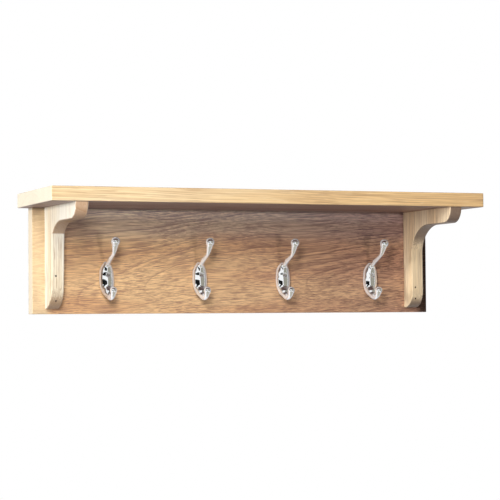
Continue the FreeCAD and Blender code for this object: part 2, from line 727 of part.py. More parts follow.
os.makedirs("parts", exist_ok=True)
for node in nodes:
    node.Shape.exportStep(f"parts/{node.Label}.step")
    print(node.Label, len(node.Shape.Solids), "solids", round(node.Shape.Volume, 1), "mm3")
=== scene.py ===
import json
import math

import bmesh
import bpy
import numpy as np
from mathutils import Euler, Matrix, Vector

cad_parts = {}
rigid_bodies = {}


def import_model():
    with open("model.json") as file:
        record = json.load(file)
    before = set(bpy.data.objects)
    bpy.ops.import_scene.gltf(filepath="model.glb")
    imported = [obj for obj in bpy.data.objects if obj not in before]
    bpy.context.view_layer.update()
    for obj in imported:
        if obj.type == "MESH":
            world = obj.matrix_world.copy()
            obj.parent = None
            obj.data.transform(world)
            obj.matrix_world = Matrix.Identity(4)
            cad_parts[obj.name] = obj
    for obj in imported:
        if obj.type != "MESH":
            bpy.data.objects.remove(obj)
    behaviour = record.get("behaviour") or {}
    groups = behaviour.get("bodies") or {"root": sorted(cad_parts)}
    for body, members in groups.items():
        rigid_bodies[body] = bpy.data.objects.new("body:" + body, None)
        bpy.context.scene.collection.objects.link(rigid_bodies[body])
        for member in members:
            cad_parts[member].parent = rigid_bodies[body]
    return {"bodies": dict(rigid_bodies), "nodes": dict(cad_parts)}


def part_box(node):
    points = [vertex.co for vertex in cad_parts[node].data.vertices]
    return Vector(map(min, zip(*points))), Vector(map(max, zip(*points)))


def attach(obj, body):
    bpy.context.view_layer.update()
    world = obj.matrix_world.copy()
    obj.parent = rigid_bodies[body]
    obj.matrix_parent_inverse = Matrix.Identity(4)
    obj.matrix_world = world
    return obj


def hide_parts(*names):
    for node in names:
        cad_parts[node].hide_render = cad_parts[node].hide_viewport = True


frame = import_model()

# An oak coat rack for the wall: a shelf on a back board and two shaped brackets, with four chrome hooks.
# Metres. X runs along the rack, the front faces -Y, the wall is the plane Y = 0 and Z is up.

bpy.context.view_layer.update()
nodes = frame["nodes"]
body = list(frame["bodies"])[0]
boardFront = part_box("back_board")[0].y
print("frame loaded:", len(nodes), "nodes")


# Small helpers for node trees

def plug(tree, socket, value):
    if isinstance(value, bpy.types.NodeSocket):
        tree.links.new(value, socket)
    else:
        socket.default_value = value


def addNode(tree, kind, inputs=None, **settings):
    node = tree.nodes.new(kind)
    for name, value in settings.items():
        setattr(node, name, value)
    for name, value in (inputs or {}).items():
        plug(tree, node.inputs[name], value)
    return node


def calc(tree, operation, *values, clamp=False):
    node = addNode(tree, "ShaderNodeMath", operation=operation, use_clamp=clamp)
    for number, value in enumerate(values):
        plug(tree, node.inputs[number], value)
    return node.outputs[0]


def stretched(tree, place, stretch):
    node = addNode(tree, "ShaderNodeVectorMath", operation="MULTIPLY")
    plug(tree, node.inputs[0], place)
    plug(tree, node.inputs[1], stretch)
    return node.outputs[0]


def noiseAt(tree, place, stretch, detail=2.0, roughness=0.5, output="Fac"):
    # noise with as many features per metre each way as stretch says
    node = addNode(tree, "ShaderNodeTexNoise", {"Vector": stretched(tree, place, stretch), "Scale": 1.0,
                                                "Detail": detail, "Roughness": roughness})
    return node.outputs[output]


def ramp(tree, value, low, high, start=0.0, end=1.0, smooth=True):
    kind = "SMOOTHSTEP" if smooth else "LINEAR"
    node = addNode(tree, "ShaderNodeMapRange", interpolation_type=kind)
    ends = {"Value": value, "From Min": low, "From Max": high, "To Min": start, "To Max": end}
    for label, number in ends.items():
        plug(tree, node.inputs[label], number)
    return node.outputs["Result"]


def blendColor(tree, share, first, second, blend="MIX"):
    node = addNode(tree, "ShaderNodeMix", data_type="RGBA", blend_type=blend)
    for number, value in ((0, share), (6, first), (7, second)):
        plug(tree, node.inputs[number], value)
    return node.outputs[2]


def newGroup(name, inputs, outputs):
    group = bpy.data.node_groups.new(name, "ShaderNodeTree")
    for label, (kind, value) in inputs.items():
        socket = group.interface.new_socket(label, in_out="INPUT", socket_type=f"NodeSocket{kind}")
        socket.default_value = value
    for label, kind in outputs.items():
        group.interface.new_socket(label, in_out="OUTPUT", socket_type=f"NodeSocket{kind}")
    return group, group.nodes.new("NodeGroupInput").outputs, group.nodes.new("NodeGroupOutput").inputs


def newMaterial(name):
    material = bpy.data.materials.new(name)
    material.use_nodes = True
    tree = material.node_tree
    surface = tree.nodes["Principled BSDF"]
    place = addNode(tree, "ShaderNodeTexCoord").outputs["Object"]
    return material, tree, surface, place


def useGroup(tree, group, inputs):
    return addNode(tree, "ShaderNodeGroup", inputs, node_tree=group).outputs


# Oak: growth rings round a pith that runs along the board, pores in the early wood, fibres and ray flecks.
# Each number is how many features there are per metre: along the grain, through the board and across it.
oakScale = {
    "wander": (3.6, 7.0, 7.0), "wave": (15.0, 40.0, 40.0),
    "patches": (9.0, 24.0, 24.0), "tone": (3.0, 26.0, 26.0),
    "fibres": (3.6, 340.0, 640.0), "fineFibres": (13.0, 700.0, 1250.0),
    "flecks": (48.0, 520.0, 300.0), "pores": (18.0, 600.0, 950.0),
}
# uneven ring widths: how many changes per ring, and by how many rings each shifts the rest
ringChange = {"often": 0.45, "size": 2.2}


def makeOakGroup():
    group, given, made = newGroup("oakFigure", {
        "Place": ("Vector", (0, 0, 0)),
        "Ring Width": ("Float", 0.004),
        "Wander": ("Float", 0.008),
        "Wave": ("Float", 0.0015),
        "Ring Depth": ("Float", 0.5),
        "Line Depth": ("Float", 0.5),
        "Streak Depth": ("Float", 0.3),
        "Pore Depth": ("Float", 0.5),
        "Heart": ("Float", 0.0),
        "Pale": ("Color", (0.8, 0.6, 0.4, 1)),
        "Gold": ("Color", (0.7, 0.5, 0.3, 1)),
        "Brown": ("Color", (0.3, 0.2, 0.1, 1)),
        "Heart Tone": ("Color", (0.5, 0.3, 0.2, 1)),
    }, {"Color": "Color", "Roughness": "Float", "Height": "Float"})

    # the grain wanders slowly along the board and ripples in short waves; the fibres only wander
    wander = noiseAt(group, given["Place"], oakScale["wander"], 1.0, output="Color")
    wave = noiseAt(group, given["Place"], oakScale["wave"], 2.0, output="Color")
    places = [given["Place"]]
    for shake, amount in ((wander, given["Wander"]), (wave, given["Wave"])):
        centred = addNode(group, "ShaderNodeVectorMath", operation="SUBTRACT")
        plug(group, centred.inputs[0], shake)
        centred.inputs[1].default_value = (0.5, 0.5, 0.5)
        moved = addNode(group, "ShaderNodeVectorMath", operation="MULTIPLY_ADD")
        plug(group, moved.inputs[0], centred.outputs[0])
        plug(group, moved.inputs[1], amount)
        plug(group, moved.inputs[2], places[-1])
        places.append(moved.outputs[0])
    fibrePlace, place = places[1:]

    # rings: dark, porous early wood fades out from each ring's start, and some rings start with a dark line
    reach = addNode(group, "ShaderNodeVectorMath", operation="LENGTH")
    plug(group, reach.inputs[0], stretched(group, place, (0.0, 1.0, 1.0)))
    rings = calc(group, "DIVIDE", reach.outputs["Value"], given["Ring Width"])
    count = calc(group, "MULTIPLY", rings, ringChange["often"])
    uneven = addNode(group, "ShaderNodeTexNoise", {"W": count, "Scale": 1.0, "Detail": 1.0},
                     noise_dimensions="1D").outputs["Fac"]
    rings = calc(group, "ADD", rings, calc(group, "MULTIPLY", uneven, ringChange["size"]))
    within = calc(group, "FRACT", rings)
    early = calc(group, "MULTIPLY", ramp(group, within, 0.0, 0.08), ramp(group, within, 0.12, 0.75, 1.0, 0.0))
    strength = ramp(group, noiseAt(group, place, oakScale["patches"], 2.0), 0.38, 0.62, 0.25, 1.0)
    early = calc(group, "MULTIPLY", early, strength)
    line = calc(group, "MULTIPLY", ramp(group, within, 0.0, 0.05), ramp(group, within, 0.06, 0.22, 1.0, 0.0))
    line = calc(group, "MULTIPLY", line, ramp(group, uneven, 0.48, 0.62))

    # fibres, flecks and pores run along the grain
    fibres = noiseAt(group, fibrePlace, oakScale["fibres"], 3.0, 0.62)
    fineFibres = noiseAt(group, fibrePlace, oakScale["fineFibres"], 2.0)
    streak = calc(group, "ADD", calc(group, "MULTIPLY", ramp(group, fibres, 0.42, 0.61), 0.62),
                  calc(group, "MULTIPLY", ramp(group, fineFibres, 0.42, 0.62), 0.38))
    flecks = ramp(group, noiseAt(group, fibrePlace, oakScale["flecks"], 1.0), 0.60, 0.72)
    pores = ramp(group, noiseAt(group, fibrePlace, oakScale["pores"], 1.0), 0.57, 0.67)
    pores = calc(group, "MULTIPLY", pores, ramp(group, strength, 0.0, 1.0, 0.35, 1.0))

    tone = noiseAt(group, place, oakScale["tone"], 3.0)
    color = blendColor(group, ramp(group, tone, 0.35, 0.66), given["Pale"], given["Gold"])
    heart = calc(group, "MULTIPLY", given["Heart"], ramp(group, tone, 0.2, 0.7, 0.75, 1.0), clamp=True)
    color = blendColor(group, heart, color, given["Heart Tone"])
    for mask, depth, paint in (
        (early, given["Ring Depth"], "Brown"),
        (line, given["Line Depth"], "Brown"),
        (streak, given["Streak Depth"], "Brown"),
        (flecks, 0.16, "Pale"),
        (pores, given["Pore Depth"], "Brown"),
    ):
        color = blendColor(group, calc(group, "MULTIPLY", mask, depth), color, given[paint])
    group.links.new(color, made["Color"])
    roughness = ramp(group, calc(group, "ADD", streak, early), 0.0, 1.6, 0.42, 0.60, smooth=False)
    group.links.new(roughness, made["Roughness"])
    relief = calc(group, "ADD", calc(group, "MULTIPLY", fineFibres, 0.35),
                  calc(group, "MULTIPLY", early, -0.35))
    group.links.new(calc(group, "SUBTRACT", relief, calc(group, "MULTIPLY", pores, 0.8)), made["Height"])
    return group


# A worn arris: a mask that is 1 on an edge and 0 on the flat, broken up by noise, and the rounded normal

def makeWearGroup():
    group, given, made = newGroup("arrisWear", {"Place": ("Vector", (0, 0, 0)), "Radius": ("Float", 0.0015)},
                                  {"Mask": "Float", "Rounded": "Vector"})
    rounded = addNode(group, "ShaderNodeBevel", {"Radius": given["Radius"]}, samples=6).outputs["Normal"]
    flat = addNode(group, "ShaderNodeNewGeometry").outputs["Normal"]
    match = addNode(group, "ShaderNodeVectorMath", operation="DOT_PRODUCT")
    plug(group, match.inputs[0], rounded)
    plug(group, match.inputs[1], flat)
    edge = ramp(group, match.outputs["Value"], 0.999, 0.93)
    broken = ramp(group, noiseAt(group, given["Place"], (90.0, 90.0, 90.0), 3.0), 0.35, 0.6, 0.35, 1.0)
    group.links.new(calc(group, "MULTIPLY", edge, broken), made["Mask"])
    group.links.new(rounded, made["Rounded"])
    return group


# Polished or plated metal: smudges in the roughness, soft casting ripples and hairline scratches.
# Again features per metre.
metalScale = {
    "smudge": (160.0, 160.0, 160.0), "hairline": (900.0, 900.0, 90.0),
    "ripple": (130.0, 130.0, 130.0), "tarnish": (420.0, 420.0, 420.0),
}


def makeMetalGroup():
    group, given, made = newGroup("metalFinish", {
        "Place": ("Vector", (0, 0, 0)),
        "Clean": ("Float", 0.05),
        "Dull": ("Float", 0.15),
    }, {"Roughness": "Float", "Ripple": "Float", "Tarnish": "Float"})
    place = given["Place"]
    smudge = ramp(group, noiseAt(group, place, metalScale["smudge"], 4.0, 0.6), 0.45, 0.70)
    hairline = ramp(group, noiseAt(group, place, metalScale["hairline"], 2.0), 0.62, 0.75)
    dullness = calc(group, "ADD", calc(group, "MULTIPLY", smudge, 0.7),
                    calc(group, "MULTIPLY", hairline, 0.3))
    roughness = ramp(group, dullness, 0.0, 1.0, given["Clean"], given["Dull"], smooth=False)
    group.links.new(roughness, made["Roughness"])
    group.links.new(noiseAt(group, place, metalScale["ripple"], 1.0), made["Ripple"])
    tarnish = ramp(group, noiseAt(group, place, metalScale["tarnish"], 3.0), 0.55, 0.75)
    group.links.new(tarnish, made["Tarnish"])
    return group


oakFigure, arrisWear, metalFinish = makeOakGroup(), makeWearGroup(), makeMetalGroup()

# What a user would change in each board: where its pith runs, how the grain turns in degrees, how strong the
# figure is, and its colours. heart: how fast the wood turns to its heart tone, per metre to the right and per
# metre up, and how far it has turned at the origin.
oakBoards = {
    "shelf": {
        "pith": (0.0, -0.070, -0.060), "turn": (0.0, 0.6, 0.8),
        "ringWidth": 0.0034, "wander": 0.010, "wave": 0.0014,
        "ringDepth": 0.30, "lineDepth": 0.35, "streakDepth": 0.50, "poreDepth": 0.5,
        "heart": (1.4, 0.0, 0.42), "heartTone": (0.96, 0.63, 0.28),
        "pale": (0.93, 0.77, 0.49), "gold": (0.85, 0.64, 0.35), "brown": (0.38, 0.21, 0.11),
        "endColor": (0.80, 0.74, 0.60), "endDepth": 0.75,
    },
    "back_board": {
        "pith": (0.045, 0.045, -0.070), "turn": (0.0, -2.0, -7.0),
        "ringWidth": 0.0060, "wander": 0.040, "wave": 0.0045,
        "ringDepth": 0.26, "lineDepth": 0.50, "streakDepth": 0.76, "poreDepth": 0.6,
        "heart": (2.3, 0.2, 0.27), "heartTone": (0.50, 0.265, 0.175),
        "pale": (0.91, 0.61, 0.31), "gold": (0.77, 0.455, 0.22), "brown": (0.26, 0.13, 0.10),
        "endColor": (0.80, 0.72, 0.56), "endDepth": 0.6,
    },
    "bracket_left": {
        "pith": (-0.330, -0.055, 0.0), "turn": (0.0, -90.0, 0.0),
        "ringWidth": 0.0040, "wander": 0.010, "wave": 0.0022,
        "ringDepth": 0.28, "lineDepth": 0.6, "streakDepth": 0.30, "poreDepth": 0.5,
        "heart": (0.0, 0.0, 0.0), "heartTone": (0.5, 0.3, 0.2),
        "pale": (0.90, 0.87, 0.75), "gold": (0.86, 0.75, 0.54), "brown": (0.36, 0.21, 0.11),
        "endColor": (0.36, 0.21, 0.12), "endDepth": 0.35,
        "noseToneAndShadeColor": (0.42, 0.215, 0.09), "noseToneAndShadeDepth": 0.85,
    },
    "bracket_right": {
        "pith": (0.285, -0.120, 0.0), "turn": (0.0, -90.0, 0.0),
        "ringWidth": 0.0040, "wander": 0.012, "wave": 0.0024,
        "ringDepth": 0.30, "lineDepth": 0.5, "streakDepth": 0.34, "poreDepth": 0.55,
        "heart": (0.0, 4.0, 0.15), "heartTone": (0.80, 0.52, 0.31),
        "pale": (0.97, 0.83, 0.58), "gold": (0.90, 0.70, 0.43), "brown": (0.27, 0.16, 0.10),
        "endColor": (0.30, 0.17, 0.10), "endDepth": 0.45,
        # this nose is much darker than the left one's: painted shade on top of its end-grain tone
        "noseToneAndShadeColor": (0.14, 0.08, 0.058), "noseToneAndShadeDepth": 0.95,
    },
}

# What only the back board has: a figure that grows between two heights, darker lines in the heartwood,
# a strip of sapwood at the left end, two bands of painted shade and painted light under the shelf, and a
# painted contact shadow along its joint
boardTones = {
    "figureRise": (-0.10, 0.0), "ringGrowth": (0.5, 2.3), "lineGrowth": (0.4, 1.4),
    "heartBrown": (0.055, 0.028, 0.030), "heartBrownShare": 0.9,
    "sapEdge": -0.307, "sapBlur": 0.008, "sapBrownShare": 0.6,
    "sapwood": {"pale": (0.80, 0.63, 0.38), "gold": (0.74, 0.55, 0.32)},
    "paintedLightBands": ((-0.014, 0.015, (0.88, 0.99, 1.26)), (0.020, 0.042, (1.50, 1.68, 1.88))),
    "jointShadeRise": (0.0395, 0.0445), "jointShadeColor": (0.12, 0.08, 0.06), "jointShadeDepth": 0.6,
}
paintedUndersideShade = (0.34, 0.29, 0.43)  # painted shade: multiplies the colour of the shelf's underside
noseToneAndShadeFade = (0.016, 0.026)  # how far behind its front a bracket's dark nose, part end-grain tone and part painted shade, starts and ends to fade
arris = {"radius": 0.0020, "wear": 0.22}


def oakMaterial(name, board):
    material, tree, surface, place = newMaterial(f"oak_{name}")
    turn = tuple(math.radians(angle) for angle in board["turn"])
    grain = addNode(tree, "ShaderNodeMapping", {"Vector": place, "Location": board["pith"], "Rotation": turn},
                    vector_type="TEXTURE").outputs["Vector"]
    parts = addNode(tree, "ShaderNodeSeparateXYZ", {"Vector": place}).outputs
    alongX, upZ, offset = board["heart"]
    heart = calc(tree, "ADD", calc(tree, "MULTIPLY", parts["X"], alongX),
                 calc(tree, "MULTIPLY", parts["Z"], upZ))
    heart = calc(tree, "ADD", heart, offset, clamp=True)
    colors = {tone: (*board[tone], 1) for tone in ("pale", "gold", "brown")}
    ringDepth, lineDepth = board["ringDepth"], board["lineDepth"]
    if name == "back_board":
        own = boardTones
        ringDepth, lineDepth = (
            ramp(tree, parts["Z"], *own["figureRise"], depth * own[growth][0], depth * own[growth][1])
            for depth, growth in ((ringDepth, "ringGrowth"), (lineDepth, "lineGrowth")))
        share = calc(tree, "MULTIPLY", heart, own["heartBrownShare"])
        colors["brown"] = blendColor(tree, share, colors["brown"], (*own["heartBrown"], 1))
        edge, blur = own["sapEdge"], own["sapBlur"]
        sap = ramp(tree, parts["X"], edge - blur, edge + blur, 1.0, 0.0)
        for tone, lighter in own["sapwood"].items():
            colors[tone] = blendColor(tree, sap, colors[tone], (*lighter, 1))
        share = calc(tree, "MULTIPLY", sap, own["sapBrownShare"])
        colors["brown"] = blendColor(tree, share, colors["brown"], (*own["sapwood"]["gold"], 1))
    figure = useGroup(tree, oakFigure, {
        "Place": grain, "Ring Width": board["ringWidth"], "Wander": board["wander"], "Wave": board["wave"],
        "Ring Depth": ringDepth, "Line Depth": lineDepth,
        "Streak Depth": board["streakDepth"], "Pore Depth": board["poreDepth"],
        "Heart": heart, "Pale": colors["pale"], "Gold": colors["gold"], "Brown": colors["brown"],
        "Heart Tone": (*board["heartTone"], 1)})
    wear = useGroup(tree, arrisWear, {"Place": place, "Radius": arris["radius"]})
    worn = calc(tree, "MULTIPLY", wear["Mask"], arris["wear"])
    color = blendColor(tree, worn, figure["Color"], colors["pale"])

    # end grain drinks more oil and turns darker
    normal = addNode(tree, "ShaderNodeNewGeometry").outputs["Normal"]
    facings = addNode(tree, "ShaderNodeSeparateXYZ", {"Vector": normal}).outputs
    along = addNode(tree, "ShaderNodeVectorMath", operation="DOT_PRODUCT")
    plug(tree, along.inputs[0], normal)
    plug(tree, along.inputs[1], tuple(Euler(turn).to_matrix() @ Vector((1, 0, 0))))
    endShare = ramp(tree, calc(tree, "ABSOLUTE", along.outputs["Value"]), 0.25, 0.95, 0.0, board["endDepth"])
    color = blendColor(tree, endShare, color, (*board["endColor"], 1))
    if name == "shelf":
        # painted shade on the shelf's faces that look down
        underside = ramp(tree, facings["Z"], -0.5, -0.9)
        color = blendColor(tree, underside, color, (*paintedUndersideShade, 1), "MULTIPLY")
    if name == "back_board":
        # painted shade and light under the shelf: a bluish painted shade, then nearest the shelf a painted
        # lightening that offsets the shelf's shadow
        notSap = calc(tree, "SUBTRACT", 1.0, sap)
        for low, high, tint in own["paintedLightBands"]:
            share = calc(tree, "MULTIPLY", ramp(tree, parts["Z"], low, high), notSap)
            color = blendColor(tree, share, color, (*tint, 1), "MULTIPLY")
        # painted contact shadow along the joint under the shelf
        jointShadeShare = ramp(tree, parts["Z"], *own["jointShadeRise"], 0.0, own["jointShadeDepth"])
        color = blendColor(tree, jointShadeShare, color, (*own["jointShadeColor"], 1))
    if "noseToneAndShadeDepth" in board:  # a bracket's round nose is darker, partly its end-grain tone and partly painted shade; its cove gets painted shade
        noseFront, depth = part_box(name)[0].y, board["noseToneAndShadeDepth"]
        near, far = (noseFront + depthBehind for depthBehind in noseToneAndShadeFade)
        nose = calc(tree, "MULTIPLY", ramp(tree, parts["Y"], near, far, 1.0, 0.0),
                    ramp(tree, calc(tree, "ABSOLUTE", facings["X"]), 0.3, 0.7, depth, 0.0))
        # painted shade on the faces that look down, such as the cove
        nose = calc(tree, "MAXIMUM", nose, ramp(tree, facings["Z"], -0.3, -0.8, 0.0, depth * 0.8))
        color = blendColor(tree, nose, color, blendColor(tree, 0.88, color, (*board["noseToneAndShadeColor"], 1)))
    tree.links.new(color, surface.inputs["Base Color"])
    tree.links.new(figure["Roughness"], surface.inputs["Roughness"])
    bump = addNode(tree, "ShaderNodeBump", {"Height": figure["Height"], "Strength": 0.5, "Distance": 0.0003,
                                            "Normal": wear["Rounded"]})
    tree.links.new(bump.outputs["Normal"], surface.inputs["Normal"])
    return material


# milk: how much less metallic the flanks are than the front
metals = {
    "chrome": {"color": (0.91, 0.92, 0.93), "clean": 0.035, "dull": 0.11, "ripple": 0.00018,
               "tarnish": (0.60, 0.58, 0.54), "milk": 0.48},
    "chrome_screw": {"color": (0.82, 0.82, 0.81), "clean": 0.06, "dull": 0.16, "ripple": 0.00005,
                     "tarnish": (0.5, 0.48, 0.44), "milk": 0.0},
    "pin_steel": {"color": (0.13, 0.10, 0.08), "clean": 0.35, "dull": 0.55, "ripple": 0.0001,
                  "tarnish": (0.06, 0.04, 0.03), "milk": 0.0},
    "screw_steel": {"color": (0.62, 0.61, 0.57), "clean": 0.22, "dull": 0.40, "ripple": 0.00006,
                    "tarnish": (0.42, 0.38, 0.30), "milk": 0.0},
    "hanger_steel": {"color": (0.58, 0.58, 0.57), "clean": 0.28, "dull": 0.46, "ripple": 0.00006,
                     "tarnish": (0.40, 0.38, 0.34), "milk": 0.0},
}


def metalMaterial(name, metal):
    material, tree, surface, place = newMaterial(name)
    finish = useGroup(tree, metalFinish, {"Place": place, "Clean": metal["clean"], "Dull": metal["dull"]})
    share = calc(tree, "MULTIPLY", finish["Tarnish"], 0.35)
    tint = blendColor(tree, share, (*metal["color"], 1), (*metal["tarnish"], 1))
    tree.links.new(tint, surface.inputs["Base Color"])
    tree.links.new(finish["Roughness"], surface.inputs["Roughness"])
    flank = addNode(tree, "ShaderNodeLayerWeight", {"Blend": 0.5}).outputs["Facing"]
    tree.links.new(ramp(tree, flank, 0.10, 0.42, 1.0, 1.0 - metal["milk"]), surface.inputs["Metallic"])
    bump = addNode(tree, "ShaderNodeBump", {"Height": finish["Ripple"], "Strength": 1.0,
                                            "Distance": metal["ripple"]})
    tree.links.new(bump.outputs["Normal"], surface.inputs["Normal"])
    return material


# Turned beech for the dowels: pale, close grained, with short dark flecks

beech = {
    "pale": (0.78, 0.58, 0.38), "dark": (0.68, 0.47, 0.29), "toneScale": (300.0, 300.0, 30.0),
    "fleck": (0.40, 0.24, 0.14), "fleckDepth": 0.6, "fleckScale": (1500.0, 1500.0, 260.0),
}


def beechMaterial():
    material, tree, surface, place = newMaterial("beech_dowel")
    fleck = ramp(tree, noiseAt(tree, place, beech["fleckScale"], 1.0), 0.60, 0.70)
    tone = noiseAt(tree, place, beech["toneScale"], 3.0)
    color = blendColor(tree, tone, (*beech["pale"], 1), (*beech["dark"], 1))
    color = blendColor(tree, calc(tree, "MULTIPLY", fleck, beech["fleckDepth"]), color, (*beech["fleck"], 1))
    tree.links.new(color, surface.inputs["Base Color"])
    tree.links.new(ramp(tree, tone, 0.2, 0.8, 0.5, 0.68), surface.inputs["Roughness"])
    bump = addNode(tree, "ShaderNodeBump", {"Height": tone, "Strength": 0.4, "Distance": 0.0002})
    tree.links.new(bump.outputs["Normal"], surface.inputs["Normal"])
    return material


materials = {name: metalMaterial(name, metal) for name, metal in metals.items()}
materials["beech"] = beechMaterial()
materials.update({name: oakMaterial(name, board) for name, board in oakBoards.items()})
print("materials made:", len(materials))


def dress(thing, material):
    thing.data.materials.clear()
    thing.data.materials.append(material)


def newPiece(name, mesh, slotName, *replaced):
    piece = bpy.data.objects.new(name, mesh)
    bpy.context.scene.collection.objects.link(piece)
    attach(piece, body)
    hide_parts(*replaced)
    return piece


# The pieces whose CAD shape is right keep it and get a finish: the first whose word is in the piece's name
finishes = {
    "dowels": "beech", "pins": "pin_steel", "hook_screw": "chrome_screw", "screws": "screw_steel",
    "hanger": "hanger_steel", "shelf": "shelf", "back_board": "back_board",
}
for name, node in nodes.items():
    fitting = [finish for word, finish in finishes.items() if word in name]
    if fitting:
        dress(node, materials[fitting[0]])


# Brackets: a nose that carries the shelf, a cove, a leg and a round toe, with soft hand-eased arrises.
# leg, toe and foot say how far each stands off the board; blend is the radius from the cove into the leg.

bracketShape = {
    "noseHeight": 0.024, "coveRadius": 0.071, "coveTurn": 40.0, "arcSteps": 18,
    "arris": 0.0016, "arrisSteps": 4, "sharpFrom": 28.0,
    "mouth": {"clearance": 0.00005, "overrun": 0.004, "depth": 0.0010},
    "left": {"leg": 0.041, "blend": 0.004, "toe": 0.038, "foot": 0.0005},
    "right": {"leg": 0.030, "blend": 0.035, "toe": 0.0305, "foot": 0.003},
}


def arcThrough(start, end, radius, side, steps):
    # points from start to end on an arc that bulges left of the way (side 1) or right of it (side -1)
    chord = end - start
    left = Vector((-chord.y, chord.x)).normalized()
    centre = (start + end) / 2 - left * side * math.sqrt(max(radius**2 - chord.length**2 / 4, 0))
    first = math.atan2(start.y - centre.y, start.x - centre.x)
    sweep = 2 * math.asin(min(chord.length / 2 / radius, 1)) * -side
    turns = (first + sweep * step / steps for step in range(1, steps))
    return [centre + Vector((math.cos(turn), math.sin(turn))) * radius for turn in turns]


def bracketOutline(side):
    # corners as (y, z) from the meeting of the board's front and the shelf's underside; reaches run along -y
    shape, own = bracketShape, bracketShape[side]
    low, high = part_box(f"bracket_{side}")
    noseReach, legDrop = boardFront - low.y, high.z - low.z
    turn, noseHeight, coveRadius = math.radians(shape["coveTurn"]), shape["noseHeight"], shape["coveRadius"]
    coveEnd = own["leg"] + own["blend"] * (1 - math.sin(turn))
    coveEndDrop = noseHeight + coveRadius * (1 - math.cos(turn))
    toeRadius = own["toe"] - own["foot"]
    corners = [
        (0, 0),
        (noseReach, 0),
        (noseReach - noseHeight, noseHeight),
        (coveEnd + coveRadius * math.sin(turn), noseHeight),
        (coveEnd, coveEndDrop),
        (own["leg"], coveEndDrop + own["blend"] * math.cos(turn)),
        (own["toe"], legDrop - toeRadius),
        (own["foot"], legDrop),
        (0, legDrop),
    ]
    bends = {1: (noseHeight, -1), 3: (coveRadius, 1), 4: (own["blend"], 1), 6: (toeRadius, -1)}
    corners = [Vector((-reach, -drop)) for reach, drop in corners]
    outline = []
    for number, corner in enumerate(corners):
        following = corners[(number + 1) % len(corners)]
        outline.append(corner)
        if number in bends:
            radius, bulge = bends[number]
            outline += arcThrough(corner, following, radius, bulge, shape["arcSteps"])
    return [Vector((boardFront + point.x, high.z + point.y)) for point in outline], low.x, high.x


def pinPlaces(side):
    # the middle, front and radius of each pin's head, read from the frame
    points = np.array([vertex.co for vertex in nodes[f"bracket_pins_{side}"].data.vertices])
    middle = (points[:, 2].min() + points[:, 2].max()) / 2
    for chosen in (points[points[:, 2] < middle], points[points[:, 2] > middle]):
        low, high = chosen.min(0), chosen.max(0)
        yield (low[0] + high[0]) / 2, low[1], (low[2] + high[2]) / 2, (high[0] - low[0]) / 2


def makeBracket(side):
    outline, left, right = bracketOutline(side)
    shell = bmesh.new()
    face = shell.faces.new([shell.verts.new((left, y, z)) for y, z in outline])
    grown = bmesh.ops.extrude_face_region(shell, geom=[face])["geom"]
    bmesh.ops.translate(shell, vec=(right - left, 0, 0),
                        verts=[item for item in grown if isinstance(item, bmesh.types.BMVert)])
    bmesh.ops.recalc_face_normals(shell, faces=shell.faces)
    top = max(vertex.co.z for vertex in shell.verts)

    def eased(edge):
        first, second = (vertex.co for vertex in edge.verts)
        onSide = abs(first.x - second.x) < 1e-6
        seated = all(abs(point.y - boardFront) < 1e-6 for point in (first, second))
        under = all(abs(point.z - top) < 1e-6 for point in (first, second))
        return onSide and not seated and not under

    bmesh.ops.bevel(shell, geom=[edge for edge in shell.edges if eased(edge)], offset=bracketShape["arris"],
                    offset_type="OFFSET", segments=bracketShape["arrisSteps"], profile=0.5, affect="EDGES",
                    clamp_overlap=True)
    for item in shell.faces:
        item.smooth = True
    sharpFrom = math.radians(bracketShape["sharpFrom"])
    for edge in shell.edges:
        edge.smooth = len(edge.link_faces) == 2 and edge.calc_face_angle() < sharpFrom
    mesh = bpy.data.meshes.new(f"bracket_{side}_wood")
    shell.to_mesh(mesh)
    shell.free()
    bracket = newPiece(f"bracket_{side}_wood", mesh, "oak", f"bracket_{side}")
    dress(bracket, materials[f"bracket_{side}"])

    # a sunk mouth in front of each pin's head
    cutter = bmesh.new()
    clearance, overrun, depth = (bracketShape["mouth"][key] for key in ("clearance", "overrun", "depth"))
    for x, y, z, radius in pinPlaces(side):
        turned = Matrix.Translation((x, y + (depth - overrun) / 2, z)) @ Matrix.Rotation(math.pi / 2, 4, "X")
        bmesh.ops.create_cone(cutter, cap_ends=True, segments=24, radius1=radius + clearance,
                              radius2=radius + clearance, depth=depth + overrun, matrix=turned)
    cutterMesh = bpy.data.meshes.new("pinMouths")
    cutter.to_mesh(cutterMesh)
    cutter.free()
    mouths = bpy.data.objects.new("pinMouths", cutterMesh)
    bpy.context.scene.collection.objects.link(mouths)
    cut = bracket.modifiers.new("mouths", "BOOLEAN")
    cut.object, cut.operation, cut.solver = mouths, "DIFFERENCE", "EXACT"
    even = bracket.modifiers.new("even", "WEIGHTED_NORMAL")
    even.keep_sharp = True
    settle(bracket)
    bpy.data.objects.remove(mouths)
    return bracket


def settle(thing):
    # the modifiers' result becomes the mesh itself
    bpy.context.view_layer.update()
    evaluated = thing.evaluated_get(bpy.context.evaluated_depsgraph_get())
    mesh = bpy.data.meshes.new_from_object(evaluated)
    thing.modifiers.clear()
    thing.data = mesh


for side in ("left", "right"):
    makeBracket(side)
print("brackets made")


# Double hooks. Reach runs forward from the board, rise up from the middle of the hook's base.
# The curl's turns and radii are those at its start, at its thinnest and at its end; angles are in degrees.

